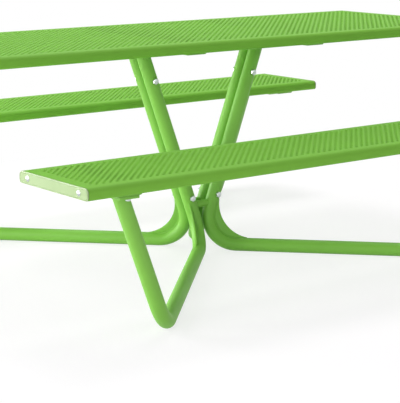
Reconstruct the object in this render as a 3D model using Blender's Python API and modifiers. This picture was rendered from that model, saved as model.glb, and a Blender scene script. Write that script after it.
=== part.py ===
"""Picnic table with two attached backless benches, carried by four bent tubes.

Metres, +Z up. The origin is on the floor under the middle of the table, and +X runs along the table.
"""

import math

import bmesh
import bpy
from mathutils import Matrix, Vector

# Table top and seats
TABLE_HEIGHT = 0.750
TABLE_LENGTH = 1.970
TABLE_WIDTH = 0.700
SEAT_HEIGHT = 0.457
SEAT_LENGTH = 1.970
SEAT_WIDTH = 0.336
SEAT_CENTRE_Y = 0.647

# Rolled sheet and its end plates
PANEL_DEPTH = 0.034
EDGE_TOP_RADIUS = 0.014
EDGE_BOTTOM_RADIUS = 0.010
EDGE_LIP = 0.008
SHEET_THICKNESS = 0.0025
END_FLANGE_LIFT = 0.008
END_PLATE_THICKNESS = 0.004
END_BOLT_INSET = 0.043

# Perforation of the sheets. The round holes are too many to cut here, so a plain grid of openings
# over the same field stands for them, with the same share of open area
PERFORATION_PITCH = 0.022
PERFORATION_DIAMETER = 0.0104
PERFORATION_FROM_EDGE = 0.025
PERFORATION_FROM_END = 0.018
OPENING_COLUMNS = 12

# Bent tubes
TUBE_DIAMETER = 0.0455
TUBE_WALL = 0.003
BEND_RADIUS = 0.0975
LEG_LEAN = math.radians(20.45)
HUB_PAST_CENTRE = 0.0064

# Crescent webs inside the big bends, and the bars between the legs
WEB_RADIUS = 0.1195
WEB_THICKNESS = 0.006
WEB_TIP = 0.0015
SPACER_DIAMETER = 0.025
SPACER_ABOVE_BEND = 0.0085

# Channels under the sheets, and the flat bars on top of the tubes
RAIL_WIDTH = 0.080
RAIL_DEPTH = 0.038
RAIL_WALL = 0.004
RAIL_INNER_RADIUS = 0.003
TABLE_RAIL_INSET = 0.035
SEAT_RAIL_INSET = 0.023
SEAT_RAIL_FROM_END = 0.1484
BAR_WIDTH = 0.065
BAR_THICKNESS = 0.008
SEAT_ARM_LENGTH = 0.235
LEG_PLATE_LENGTH = 0.110
BAR_BOLT_INSET = 0.010
WELD_ROOM = 0.0045

# Fasteners
THROUGH_BOLT_DIAMETER = 0.012
THROUGH_BOLT_FLATS = 0.018
THROUGH_BOLT_HEAD = 0.0075
THROUGH_BOLT_NUT = 0.010
THROUGH_BOLT_SPARE = 0.004
LOWER_BOLT_ABOVE_SPACER = 0.028
UPPER_BOLT_BELOW_TABLE = 0.152
BAR_BOLT_DIAMETER = 0.008
BAR_BOLT_FLATS = 0.013
BAR_BOLT_HEAD = 0.0053
DOME_BOLT_DIAMETER = 0.008
DOME_BOLT_HEAD_DIAMETER = 0.017
DOME_BOLT_HEAD = 0.0055
BOLT_SPARE = 0.006

# Gaps between pieces that touch, and round bolts
FIT = 0.0003
HOLE_FIT = 0.0003

# Facets
TUBE_BEVEL_RESOLUTION = 6
BEND_STEP = math.radians(15.0)
EDGE_STEPS = 5
HOLE_SEGMENTS = 16
BOLT_SEGMENTS = 12
DOME_STEPS = 16

# Sizes that follow from the ones above
TUBE_RADIUS = TUBE_DIAMETER / 2
LEG_Y = TUBE_RADIUS + FIT / 2
LEAN_SLOPE = math.tan(LEG_LEAN)
HEX_CORNER = 2 / math.sqrt(3)
BOLT_HOLE_RADIUS = BAR_BOLT_DIAMETER / 2 + HOLE_FIT
OPEN_SIDE_SHARE = PERFORATION_DIAMETER / PERFORATION_PITCH * math.sqrt(math.pi / 2)

TABLE_RAIL_BOTTOM = TABLE_HEIGHT - SHEET_THICKNESS - FIT - RAIL_DEPTH
SEAT_RAIL_BOTTOM = SEAT_HEIGHT - SHEET_THICKNESS - FIT - RAIL_DEPTH
LEG_TOP = TABLE_RAIL_BOTTOM - FIT - BAR_THICKNESS - FIT
RISER_TOP = SEAT_RAIL_BOTTOM - FIT - BAR_THICKNESS - FIT

SEAT_RAIL_LENGTH = SEAT_WIDTH - 2 * SEAT_RAIL_INSET
ARM_OUTER_Y = SEAT_CENTRE_Y + SEAT_RAIL_LENGTH / 2
ARM_BOLT_Y = ARM_OUTER_Y - BAR_BOLT_INSET
RISER_Y = ARM_BOLT_Y - BAR_BOLT_FLATS * HEX_CORNER / 2 - WELD_ROOM - TUBE_RADIUS
RISER_TOP_X = SEAT_LENGTH / 2 - SEAT_RAIL_FROM_END
FOOT_X = RISER_TOP_X - (RISER_TOP - TUBE_RADIUS) * LEAN_SLOPE
RUN_ANGLE = math.atan2(RISER_Y - LEG_Y, FOOT_X + HUB_PAST_CENTRE)


def leg_x(height):
    """How far a leg's axis is from the middle at this height."""
    return (height - TUBE_RADIUS) * LEAN_SLOPE - HUB_PAST_CENTRE


LEG_TOP_X = leg_x(LEG_TOP)

# The angle between a leg and its floor run, and where the bend there leaves the straight leg
RUN_TO_LEG = math.acos(math.cos(RUN_ANGLE) * math.sin(LEG_LEAN))
BEND_REACH = BEND_RADIUS / math.tan(RUN_TO_LEG / 2)
BEND_TOP = TUBE_RADIUS + BEND_REACH * math.cos(LEG_LEAN)
SPACER_Z = BEND_TOP + SPACER_ABOVE_BEND + SPACER_DIAMETER / 2
LOWER_BOLT_Z = SPACER_Z + LOWER_BOLT_ABOVE_SPACER
UPPER_BOLT_Z = TABLE_HEIGHT - UPPER_BOLT_BELOW_TABLE

LEFT_RIGHT = (("left", -1), ("right", 1))
FRONT_BACK = (("front", -1), ("back", 1))


def clear_scene():
    for obj in list(bpy.data.objects):
        bpy.data.objects.remove(obj, do_unlink=True)


def new_collection(name):
    collection = bpy.data.collections.new(name)
    bpy.context.scene.collection.children.link(collection)
    return collection


def new_finish(name, colour, roughness, metallic):
    finish = bpy.data.materials.new(name)
    finish.use_nodes = True
    shader = finish.node_tree.nodes["Principled BSDF"]
    shader.inputs["Base Color"].default_value = (*colour, 1.0)
    shader.inputs["Roughness"].default_value = roughness
    shader.inputs["Metallic"].default_value = metallic
    return finish


clear_scene()
PARTS = new_collection("picnic_table")
CUTTERS = new_collection("picnic_table_cutters")
GREEN_COAT = new_finish("green_coated_steel", (0.17, 0.47, 0.045), 0.45, 0.0)
ZINC = new_finish("zinc_plated_steel", (0.60, 0.62, 0.63), 0.35, 1.0)


def add_part(name, data, finish, place=Matrix()):
    """A named piece of the table at its place."""
    part = bpy.data.objects.new(name, data)
    if not data.materials:
        data.materials.append(finish)
    part.matrix_world = place
    PARTS.objects.link(part)
    return part


def add_helper(name, data):
    """A shape that only cuts, joins or guides others."""
    helper = bpy.data.objects.new(name, data)
    helper.hide_render = True
    helper.display_type = "WIRE"
    CUTTERS.objects.link(helper)
    return helper


def mesh_from(name, shape):
    mesh = bpy.data.meshes.new(name)
    shape.to_mesh(mesh)
    shape.free()
    return mesh


def evaluated_mesh(helper):
    """The helper's finished shape as one welded mesh. The helper is removed."""
    bpy.context.view_layer.update()
    graph = bpy.context.evaluated_depsgraph_get()
    mesh = bpy.data.meshes.new_from_object(helper.evaluated_get(graph))
    shape = bmesh.new()
    shape.from_mesh(mesh)
    bmesh.ops.remove_doubles(shape, verts=shape.verts, dist=0.00001)
    shape.to_mesh(mesh)
    shape.free()
    bpy.data.objects.remove(helper, do_unlink=True)
    return mesh


def boolean(part, operation, other):
    modifier = part.modifiers.new(operation.lower(), "BOOLEAN")
    modifier.operation = operation
    modifier.object = other


def shade_round(mesh):
    mesh.shade_smooth()
    mesh.set_sharp_from_angle(angle=math.radians(35))


def add_rod(shape, start, end, radius, segments):
    """Adds a closed cylinder between two points to the shape."""
    along = end - start
    turn = along.to_track_quat("Z", "Y").to_matrix().to_4x4()
    place = Matrix.Translation((start + end) / 2) @ turn
    bmesh.ops.create_cone(
        shape, cap_ends=True, segments=segments, radius1=radius, radius2=radius, depth=along.length, matrix=place
    )


def add_block(shape, centre, size):
    """Adds a closed box to the shape."""
    place = Matrix.Translation(centre) @ Matrix.Diagonal((*size, 1.0))
    bmesh.ops.create_cube(shape, size=1.0, matrix=place)


def arc(centre_x, centre_y, radius, start, end, steps):
    """Points along an arc, both ends included."""
    angles = [start + (end - start) * k / steps for k in range(steps + 1)]
    return [(centre_x + radius * math.cos(a), centre_y + radius * math.sin(a)) for a in angles]


def flat_shape(name, outlines, thickness):
    """A 2D curve of closed outlines, where an inner outline is a hole, as thick as stated."""
    curve = bpy.data.curves.new(name, "CURVE")
    curve.dimensions = "2D"
    curve.fill_mode = "BOTH"
    curve.extrude = thickness / 2
    for outline in outlines:
        spline = curve.splines.new("POLY")
        spline.points.add(len(outline) - 1)
        for point, (x, y) in zip(spline.points, outline):
            point.co = (x, y, 0.0, 1.0)
        spline.use_cyclic_u = True
    return curve


def circle(centre_x, centre_y, radius, segments=HOLE_SEGMENTS):
    return arc(centre_x, centre_y, radius, 0.0, 2 * math.pi, segments)[:-1]


def hexagon(across_flats):
    return arc(0.0, 0.0, across_flats * HEX_CORNER / 2, 0.0, 2 * math.pi, 6)[:-1]


def axes(x, y, z, origin):
    """A placing matrix from three directions and an origin."""
    return Matrix.Translation(origin) @ Matrix((x, y, z)).transposed().to_4x4()


def facing_x(origin):
    """Lays a flat shape upright across the table: its x runs along +Y and its y along +Z."""
    return axes((0, 1, 0), (0, 0, 1), (1, 0, 0), origin)


def facing_y(origin):
    """Lays a flat shape upright along the table: its x runs along +X and its y along +Z."""
    return axes((1, 0, 0), (0, 0, 1), (0, -1, 0), origin)


def edge_arcs(half_width):
    """The rounded outline of the +Y edge of a panel, from the top down, with the top at height 0."""
    top = arc(half_width - EDGE_TOP_RADIUS, -EDGE_TOP_RADIUS, EDGE_TOP_RADIUS, math.pi / 2, 0.0, EDGE_STEPS)
    bottom = arc(
        half_width - EDGE_BOTTOM_RADIUS,
        EDGE_BOTTOM_RADIUS - PANEL_DEPTH,
        EDGE_BOTTOM_RADIUS,
        0.0,
        -math.pi / 2,
        EDGE_STEPS,
    )
    return top + bottom


def both_edges(half_width, ends):
    """A panel's outline from the lower -Y edge, over the top, to the lower +Y edge, with extra end points."""
    right = edge_arcs(half_width) + ends
    left = [(-y, z) for y, z in reversed(right)]
    return left + right


def end_bolt_places(width):
    reach = width / 2 - END_BOLT_INSET
    return [(-reach, -PANEL_DEPTH / 2), (reach, -PANEL_DEPTH / 2)]


def add_openings(shape, sheet_length, width):
    """Adds the blocks that cut the grid of openings through a sheet's top, in about square cells."""
    field_length = sheet_length - 2 * PERFORATION_FROM_END
    field_width = width - 2 * PERFORATION_FROM_EDGE
    step_x = field_length / OPENING_COLUMNS
    rows = max(round(field_width / step_x), 1)
    step_y = field_width / rows
    size = (step_x * OPEN_SIDE_SHARE, step_y * OPEN_SIDE_SHARE, 4 * SHEET_THICKNESS)
    for column in range(OPENING_COLUMNS):
        for row in range(rows):
            x = (column + 0.5) * step_x - field_length / 2
            y = (row + 0.5) * step_y - field_width / 2
            add_block(shape, Vector((x, y, 0.0)), size)


def panel_sheet(name, length, width, with_bolts):
    """A sheet with rolled long edges and folded ends, perforated, and drilled for the end bolts."""
    sheet_length = length - 2 * (END_PLATE_THICKNESS + FIT)
    half_width = width / 2
    lip_end = half_width - EDGE_BOTTOM_RADIUS - EDGE_LIP
    profile = both_edges(half_width, [(lip_end, -PANEL_DEPTH)])

    shape = bmesh.new()
    verts = [shape.verts.new((-sheet_length / 2, y, z)) for y, z in profile]
    edges = [shape.edges.new(pair) for pair in zip(verts, verts[1:])]
    made = bmesh.ops.extrude_edge_only(shape, edges=edges)["geom"]
    far_verts = [item for item in made if isinstance(item, bmesh.types.BMVert)]
    bmesh.ops.translate(shape, verts=far_verts, vec=(sheet_length, 0.0, 0.0))

    end_edges = [edge for edge in shape.edges if is_top_end(edge)]
    made = bmesh.ops.extrude_edge_only(shape, edges=end_edges)["geom"]
    low_verts = [item for item in made if isinstance(item, bmesh.types.BMVert)]
    bmesh.ops.translate(shape, verts=low_verts, vec=(0.0, 0.0, END_FLANGE_LIFT - PANEL_DEPTH))
    bmesh.ops.recalc_face_normals(shape, faces=shape.faces)
    widest = max(shape.faces, key=lambda face: face.calc_area())
    if widest.normal.z < 0:
        bmesh.ops.reverse_faces(shape, faces=shape.faces)

    mesh = mesh_from(name, shape)
    shade_round(mesh)
    sheet = bpy.data.objects.new(name, mesh)
    wall = sheet.modifiers.new("wall", "SOLIDIFY")
    wall.thickness = SHEET_THICKNESS
    wall.offset = -1.0
    wall.solidify_mode = "NON_MANIFOLD"
    wall.nonmanifold_thickness_mode = "CONSTRAINTS"
    wall.nonmanifold_boundary_mode = "FLAT"
    drill = bmesh.new()
    add_openings(drill, sheet_length, width)
    if with_bolts:
        reach = Vector((sheet_length / 2 + SHEET_THICKNESS, 0.0, 0.0))
        for y, z in end_bolt_places(width):
            across = Vector((0.0, y, z))
            add_rod(drill, across - reach, across + reach, DOME_BOLT_DIAMETER / 2 + HOLE_FIT, HOLE_SEGMENTS)
    boolean(sheet, "DIFFERENCE", add_helper(name + "_drill", mesh_from(name + "_drill", drill)))
    return sheet


def is_top_end(edge):
    """True for the edge across the flat top at either end of a sheet."""
    first, second = (vert.co for vert in edge.verts)
    flat = abs(first.z) < FIT and abs(second.z) < FIT
    return flat and abs(first.x - second.x) < FIT and abs(first.y - second.y) > FIT


def make_panel(name, length, width, centre, with_bolts):
    """A sheet, its two end plates and, where stated, the dome bolts that hold them."""
    sheet = panel_sheet(name, length, width, with_bolts)
    sheet.data.materials.append(GREEN_COAT)
    sheet.matrix_world = Matrix.Translation(centre)
    PARTS.objects.link(sheet)
    for helper in [modifier.object for modifier in sheet.modifiers if modifier.type == "BOOLEAN"]:
        helper.matrix_world = sheet.matrix_world

    places = end_bolt_places(width) if with_bolts else []
    holes = [circle(y, z, DOME_BOLT_DIAMETER / 2 + HOLE_FIT) for y, z in places]
    outlines = [both_edges(width / 2, [])] + holes
    plate = flat_shape(name + "_end_plate", outlines, END_PLATE_THICKNESS)
    for side, sign in LEFT_RIGHT:
        middle = centre + Vector((sign * (length - END_PLATE_THICKNESS) / 2, 0.0, 0.0))
        add_part(f"{name}_end_plate_{side}", plate, GREEN_COAT, facing_x(middle))
        for (y, z), end in zip(places, ("a", "b")):
            seat = centre + Vector((sign * (length / 2 + FIT), y, z))
            outward = Vector((sign, 0.0, 0.0)).to_track_quat("Z", "Y").to_matrix().to_4x4()
            add_part(f"{name}_end_bolt_{side}_{end}", DOME_BOLT, ZINC, Matrix.Translation(seat) @ outward)


def dome_bolt_mesh(shank_length):
    """A round-headed bolt standing on z = 0 with its shank below, turned from a profile."""
    head_radius = DOME_BOLT_HEAD_DIAMETER / 2
    dome_radius = (head_radius**2 + DOME_BOLT_HEAD**2) / (2 * DOME_BOLT_HEAD)
    rim = math.asin(head_radius / dome_radius)
    dome = arc(0.0, DOME_BOLT_HEAD - dome_radius, dome_radius, math.pi / 2, math.pi / 2 - rim, 4)
    shank = DOME_BOLT_DIAMETER / 2
    profile = dome + [(shank, 0.0), (shank, -shank_length), (0.0, -shank_length)]

    shape = bmesh.new()
    verts = [shape.verts.new((radius, 0.0, z)) for radius, z in profile]
    for pair in zip(verts, verts[1:]):
        shape.edges.new(pair)
    helper = add_helper("dome_bolt_profile", mesh_from("dome_bolt_profile", shape))
    turn = helper.modifiers.new("turn", "SCREW")
    turn.steps = turn.render_steps = DOME_STEPS
    turn.use_merge_vertices = True
    turn.merge_threshold = 0.00001
    mesh = evaluated_mesh(helper)
    shade_round(mesh)
    return mesh


def hex_bolt_mesh(name, flats, head, diameter, shank_length):
    """A hexagon-headed bolt with the underside of its head at z = 0 and its shank below."""
    head_shape = bmesh.new()
    add_rod(head_shape, Vector((0, 0, 0)), Vector((0, 0, head)), flats * HEX_CORNER / 2, 6)
    shank_shape = bmesh.new()
    add_rod(shank_shape, Vector((0, 0, -shank_length)), Vector((0, 0, head / 2)), diameter / 2, BOLT_SEGMENTS)
    shank = add_helper(name + "_shank", mesh_from(name + "_shank", shank_shape))
    bolt = add_helper(name, mesh_from(name, head_shape))
    boolean(bolt, "UNION", shank)
    mesh = evaluated_mesh(bolt)
    bpy.data.objects.remove(shank, do_unlink=True)
    shade_round(mesh)
    return mesh


def make_rail(name, length, centre, top, bolt_ys):
    """A channel across the underside of a sheet, open upwards, with bolt holes in its web."""
    half, deep, wall = RAIL_WIDTH / 2, RAIL_DEPTH, RAIL_WALL
    inner = RAIL_INNER_RADIUS
    outer = inner + wall
    right = [(half - wall, 0.0), (half, 0.0)]
    right += arc(half - outer, outer - deep, outer, 0.0, -math.pi / 2, EDGE_STEPS)
    below = [(-x, z) for x, z in reversed(right)]
    inside = arc(half - wall - inner, wall + inner - deep, inner, -math.pi / 2, 0.0, EDGE_STEPS)
    across = [(-x, z) for x, z in reversed(inside)]
    profile = flat_shape(name, [right + below + across + inside], length)
    helper = add_helper(name + "_profile", profile)
    helper.matrix_world = facing_y((centre[0], centre[1], top))
    place = helper.matrix_world.copy()
    rail = add_part(name, evaluated_mesh(helper), GREEN_COAT, place)
    shade_round(rail.data)

    drill = bmesh.new()
    web = top - RAIL_DEPTH
    for y in bolt_ys:
        bottom = Vector((centre[0], y, web - RAIL_WALL))
        add_rod(drill, bottom, bottom + Vector((0, 0, 3 * RAIL_WALL)), BOLT_HOLE_RADIUS, HOLE_SEGMENTS)
    boolean(rail, "DIFFERENCE", add_helper(name + "_drill", mesh_from(name + "_drill", drill)))


def make_bar(name, x, top, inner_y, outer_y, bolt_y):
    """A flat bar on top of a tube, drilled for its bolt, and the bolt itself from below."""
    length = abs(outer_y - inner_y)
    middle_y = (outer_y + inner_y) / 2
    half = BAR_WIDTH / 2
    outline = [(half, length / 2), (-half, length / 2), (-half, -length / 2), (half, -length / 2)]
    hole = circle(0.0, bolt_y - middle_y, BOLT_HOLE_RADIUS)
    bar = flat_shape(name, [outline, hole], BAR_THICKNESS)
    add_part(name, bar, GREEN_COAT, Matrix.Translation((x, middle_y, top - BAR_THICKNESS / 2)))
    seat = Vector((x, bolt_y, top - BAR_THICKNESS - FIT))
    add_part(name + "_bolt", BAR_BOLT, ZINC, Matrix.Translation(seat) @ Matrix.Rotation(math.pi, 4, "X"))


def tube_corners(side, depth):
    """The corners of a tube's axis, from above the leg's top to above the riser's top."""
    spare = TUBE_DIAMETER
    hub = Vector((-side * HUB_PAST_CENTRE, depth * LEG_Y, TUBE_RADIUS))
    foot = Vector((side * FOOT_X, depth * RISER_Y, TUBE_RADIUS))
    leg = Vector((side * LEAN_SLOPE, 0.0, 1.0))
    return (
        hub + leg * (LEG_TOP + spare - TUBE_RADIUS),
        hub,
        foot,
        foot + leg * (RISER_TOP + spare - TUBE_RADIUS),
    )


def bent_path(corners):
    """The corners joined by straight runs, with an arc of the bend radius at each inner corner."""
    path = [corners[0]]
    for before, corner, after in zip(corners, corners[1:], corners[2:]):
        start = (corner - before).normalized()
        end = (after - corner).normalized()
        turn = start.angle(end)
        inward = (end - start * start.dot(end)).normalized()
        first = corner - start * BEND_RADIUS * math.tan(turn / 2)
        steps = math.ceil(turn / BEND_STEP)
        for k in range(steps + 1):
            angle = turn * k / steps
            path.append(first + BEND_RADIUS * (start * math.sin(angle) + inward * (1 - math.cos(angle))))
    path.append(corners[-1])
    return path


def make_tube(name, side, depth):
    """One bent tube, cut level at both tops and drilled for the two through bolts."""
    curve = bpy.data.curves.new(name, "CURVE")
    curve.dimensions = "3D"
    curve.bevel_depth = TUBE_RADIUS
    curve.bevel_resolution = TUBE_BEVEL_RESOLUTION
    path = bent_path(tube_corners(side, depth))
    spline = curve.splines.new("POLY")
    spline.points.add(len(path) - 1)
    for point, place in zip(spline.points, path):
        point.co = (*place, 1.0)

    tube = add_part(name, evaluated_mesh(add_helper(name + "_axis", curve)), GREEN_COAT)
    shade_round(tube.data)
    wall = tube.modifiers.new("wall", "SOLIDIFY")
    wall.thickness = TUBE_WALL
    wall.offset = -1.0

    cut = bmesh.new()
    room = 4 * TUBE_DIAMETER
    for x, y, top in ((LEG_TOP_X, LEG_Y, LEG_TOP), (RISER_TOP_X, RISER_Y, RISER_TOP)):
        add_block(cut, (side * x, depth * y, top + room / 2), (room, room, room))
    for height in (LOWER_BOLT_Z, UPPER_BOLT_Z):
        middle = Vector((side * leg_x(height), depth * LEG_Y, height))
        reach = Vector((0.0, TUBE_DIAMETER, 0.0))
        add_rod(cut, middle - reach, middle + reach, THROUGH_BOLT_DIAMETER / 2 + HOLE_FIT, HOLE_SEGMENTS)
    boolean(tube, "DIFFERENCE", add_helper(name + "_cut", mesh_from(name + "_cut", cut)))


def make_web(name, side, depth):
    """The crescent plate inside a tube's big bend: round against the tube, hollow towards the open side."""
    above, hub, foot, _ = tube_corners(side, depth)
    along = (foot - hub).normalized()
    leg = (above - hub).normalized()
    up = (leg - along * along.dot(leg)).normalized()

    half_angle = RUN_TO_LEG / 2
    leg_side = RUN_TO_LEG + math.pi / 2
    run_side = 1.5 * math.pi
    edge = TUBE_RADIUS + FIT
    bend_centre = (BEND_REACH, BEND_RADIUS)
    hollow_height = WEB_RADIUS + TUBE_RADIUS
    hollow_centre = (hollow_height / math.tan(half_angle), hollow_height)
    tip = math.acos((hollow_height - edge - WEB_TIP) / WEB_RADIUS)
    tip_reach = hollow_centre[0] - WEB_RADIUS * math.sin(tip)

    def on_leg_side(x, y):
        """Mirrors a point by the run into its twin by the leg."""
        turn = Matrix.Rotation(RUN_TO_LEG, 2)
        return tuple(turn @ Vector((x, -y)))

    outline = [(tip_reach, edge)]
    bend_steps = math.ceil((math.pi - RUN_TO_LEG) / BEND_STEP)
    outline += arc(*bend_centre, BEND_RADIUS - edge, run_side, leg_side, bend_steps)
    outline.append(on_leg_side(tip_reach, edge))
    outline += arc(*hollow_centre, WEB_RADIUS, leg_side + tip, run_side - tip, 3 * EDGE_STEPS)
    web = flat_shape(name, [outline], WEB_THICKNESS)
    add_part(name, web, GREEN_COAT, axes(along, up, along.cross(up), hub))


def make_spacer(name, depth):
    """A round bar between two legs, its ends hollowed to fit them."""
    reach = leg_x(SPACER_Z)
    y = depth * LEG_Y
    bar = bmesh.new()
    add_rod(bar, Vector((-reach, y, SPACER_Z)), Vector((reach, y, SPACER_Z)), SPACER_DIAMETER / 2, HOLE_SEGMENTS)
    spacer = add_part(name, mesh_from(name, bar), GREEN_COAT)
    shade_round(spacer.data)
    legs = bmesh.new()
    for side in (-1, 1):
        ends = [Vector((side * leg_x(z), y, z)) for z in (SPACER_Z - TUBE_DIAMETER, SPACER_Z + TUBE_DIAMETER)]
        add_rod(legs, *ends, TUBE_RADIUS + FIT, 2 * HOLE_SEGMENTS)
    boolean(spacer, "DIFFERENCE", add_helper(name + "_legs", mesh_from(name + "_legs", legs)))


def make_through_bolts():
    """The bolts across each pair of legs, heads to the front, and their nuts."""
    seat = LEG_Y + TUBE_RADIUS + FIT
    grip = 2 * seat + THROUGH_BOLT_NUT + THROUGH_BOLT_SPARE
    bolt = hex_bolt_mesh(
        "through_bolt", THROUGH_BOLT_FLATS, THROUGH_BOLT_HEAD, THROUGH_BOLT_DIAMETER, grip
    )
    nut = flat_shape(
        "through_bolt_nut",
        [hexagon(THROUGH_BOLT_FLATS), circle(0.0, 0.0, THROUGH_BOLT_DIAMETER / 2 + HOLE_FIT)],
        THROUGH_BOLT_NUT,
    )
    for row, height in (("lower", LOWER_BOLT_Z), ("upper", UPPER_BOLT_Z)):
        for side, sign in LEFT_RIGHT:
            x = sign * leg_x(height)
            head_place = Matrix.Translation((x, -seat, height)) @ Matrix.Rotation(math.pi / 2, 4, "X")
            add_part(f"through_bolt_{row}_{side}", bolt, ZINC, head_place)
            nut_place = facing_y((x, seat + THROUGH_BOLT_NUT / 2, height))
            add_part(f"through_nut_{row}_{side}", nut, ZINC, nut_place)


DOME_BOLT = dome_bolt_mesh(FIT + END_PLATE_THICKNESS + FIT + SHEET_THICKNESS + BOLT_SPARE)
BAR_BOLT = hex_bolt_mesh(
    "bar_bolt",
    BAR_BOLT_FLATS,
    BAR_BOLT_HEAD,
    BAR_BOLT_DIAMETER,
    FIT + BAR_THICKNESS + FIT + RAIL_WALL + BOLT_SPARE,
)

make_panel("table_top", TABLE_LENGTH, TABLE_WIDTH, Vector((0.0, 0.0, TABLE_HEIGHT)), False)
for row, depth in FRONT_BACK:
    seat_centre = Vector((0.0, depth * SEAT_CENTRE_Y, SEAT_HEIGHT))
    make_panel(f"{row}_seat", SEAT_LENGTH, SEAT_WIDTH, seat_centre, True)
    make_spacer(f"{row}_hub_spacer", depth)

leg_bolt_y = LEG_PLATE_LENGTH - 2 * BAR_BOLT_INSET
for side, sign in LEFT_RIGHT:
    make_rail(
        f"table_rail_{side}",
        TABLE_WIDTH - 2 * TABLE_RAIL_INSET,
        (sign * LEG_TOP_X, 0.0),
        TABLE_RAIL_BOTTOM + RAIL_DEPTH,
        (-leg_bolt_y, leg_bolt_y),
    )
    for row, depth in FRONT_BACK:
        make_tube(f"{row}_{side}_tube", sign, depth)
        make_web(f"{row}_{side}_bend_web", sign, depth)
        make_bar(
            f"{row}_{side}_leg_plate",
            sign * LEG_TOP_X,
            TABLE_RAIL_BOTTOM - FIT,
            depth * FIT / 2,
            depth * LEG_PLATE_LENGTH,
            depth * leg_bolt_y,
        )
        make_rail(
            f"{row}_{side}_seat_rail",
            SEAT_RAIL_LENGTH,
            (sign * RISER_TOP_X, depth * SEAT_CENTRE_Y),
            SEAT_RAIL_BOTTOM + RAIL_DEPTH,
            (depth * ARM_BOLT_Y,),
        )
        make_bar(
            f"{row}_{side}_seat_arm",
            sign * RISER_TOP_X,
            SEAT_RAIL_BOTTOM - FIT,
            depth * (ARM_OUTER_Y - SEAT_ARM_LENGTH),
            depth * ARM_OUTER_Y,
            depth * ARM_BOLT_Y,
        )
make_through_bolts()
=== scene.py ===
# %% [markdown]
# # A steel picnic table with attached benches
#
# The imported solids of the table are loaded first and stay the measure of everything. A piece is made anew
# only where the solids leave something out: truly round tubes, soft plate edges, weld beads, cut bolts,
# and the thousands of holes in the three sheets. Every new piece is a surface worked out with numpy, in
# the same frame, so that it lies right over the solid that it replaces.

import math

import bpy
import numpy as np
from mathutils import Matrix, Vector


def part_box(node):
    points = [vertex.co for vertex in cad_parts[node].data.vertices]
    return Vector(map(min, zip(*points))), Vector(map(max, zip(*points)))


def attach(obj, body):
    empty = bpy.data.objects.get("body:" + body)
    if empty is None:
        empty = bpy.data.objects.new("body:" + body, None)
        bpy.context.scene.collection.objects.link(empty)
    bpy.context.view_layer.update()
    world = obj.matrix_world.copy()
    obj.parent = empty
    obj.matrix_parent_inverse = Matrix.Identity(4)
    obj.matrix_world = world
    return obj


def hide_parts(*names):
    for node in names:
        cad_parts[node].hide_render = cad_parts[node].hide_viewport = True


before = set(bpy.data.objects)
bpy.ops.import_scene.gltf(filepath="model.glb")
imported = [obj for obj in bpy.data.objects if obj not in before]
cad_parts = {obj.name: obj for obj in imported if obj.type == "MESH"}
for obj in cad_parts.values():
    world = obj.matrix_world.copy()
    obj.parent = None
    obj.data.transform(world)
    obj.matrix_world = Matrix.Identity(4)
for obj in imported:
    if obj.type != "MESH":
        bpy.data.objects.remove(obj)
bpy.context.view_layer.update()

# %% [markdown]
# ## Camera
#
# A lens close by shows steep perspective, and a long lens from further off hardly any. Here the long
# edges of the table top and the benches run to one vanishing point. That point and the heights of the
# panels gave the camera's place, tilt and lens: a long lens, as high above the floor as the eyes of
# someone who bends down.

# %% Camera
CAMERA_PLACE = (-2.971, -3.8245, 1.1789)
CAMERA_YAW = math.radians(52.035)
CAMERA_PITCH = math.radians(11.842)
CAMERA_LENS = 128.8

camera_data = bpy.data.cameras.new("photo_camera")
camera_data.lens = CAMERA_LENS
camera = bpy.data.objects.new("photo_camera", camera_data)
camera.location = CAMERA_PLACE
camera.rotation_euler = (math.pi / 2 - CAMERA_PITCH, 0.0, CAMERA_YAW - math.pi / 2)
bpy.context.scene.collection.objects.link(camera)
bpy.context.scene.camera = camera
bpy.context.scene.view_settings.view_transform = "Standard"
distance = math.dist(CAMERA_PLACE, (0, 0, 0))
print("camera:", CAMERA_LENS, "mm lens,", round(distance, 2), "m from the middle of the floor")

# %% [markdown]
# ## Colours and nodes
#
# Colours are written as on a paint card, in sRGB, and one function turns them into the linear values that
# the shaders use. A material could be wired by hand in the shader editor. In a script, one small function
# that adds a node with its settings and links lets each material be read from top to bottom, like a
# recipe.


# %% Colour and node helpers
def linear(card):
    """An sRGB colour such as "#6FB63C" as linear RGBA.

    Each channel is ((c + 0.055) / 1.055) ** 2.4, or c / 12.92 near black.
    """
    srgb = np.array([int(card[k : k + 2], 16) / 255 for k in (1, 3, 5)])
    rgb = np.where(srgb <= 0.04045, srgb / 12.92, ((srgb + 0.055) / 1.055) ** 2.4)
    return (*rgb.tolist(), 1.0)


def new_material(name):
    """An empty material and the tree that its nodes go into."""
    material = bpy.data.materials.new(name)
    material.use_nodes = True
    material.node_tree.nodes.clear()
    return material, material.node_tree


def add_node(tree, kind, settings=(), inputs=()):
    """Adds a node with its settings. An input is a constant, or another node's output to link."""
    node = tree.nodes.new(kind)
    for name, value in dict(settings).items():
        setattr(node, name, value)
    for name, value in dict(inputs).items():
        if isinstance(value, bpy.types.NodeSocket):
            tree.links.new(value, node.inputs[name])
        else:
            node.inputs[name].default_value = value
    return node


print("a card's middle grey, #808080, is", round(linear("#808080")[0], 3), "in linear light")

# %% [markdown]
# ## Cloudy surfaces
#
# No finish is quite even: paint and plating have soft patches that are a little lighter and duller than
# the rest. A photographed texture would need a map unrolled over each piece. Noise on object coordinates
# needs none, and the size of its patches can be given in millimetres.

# %% Colour and shine from one noise
MM = 0.001


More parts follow.
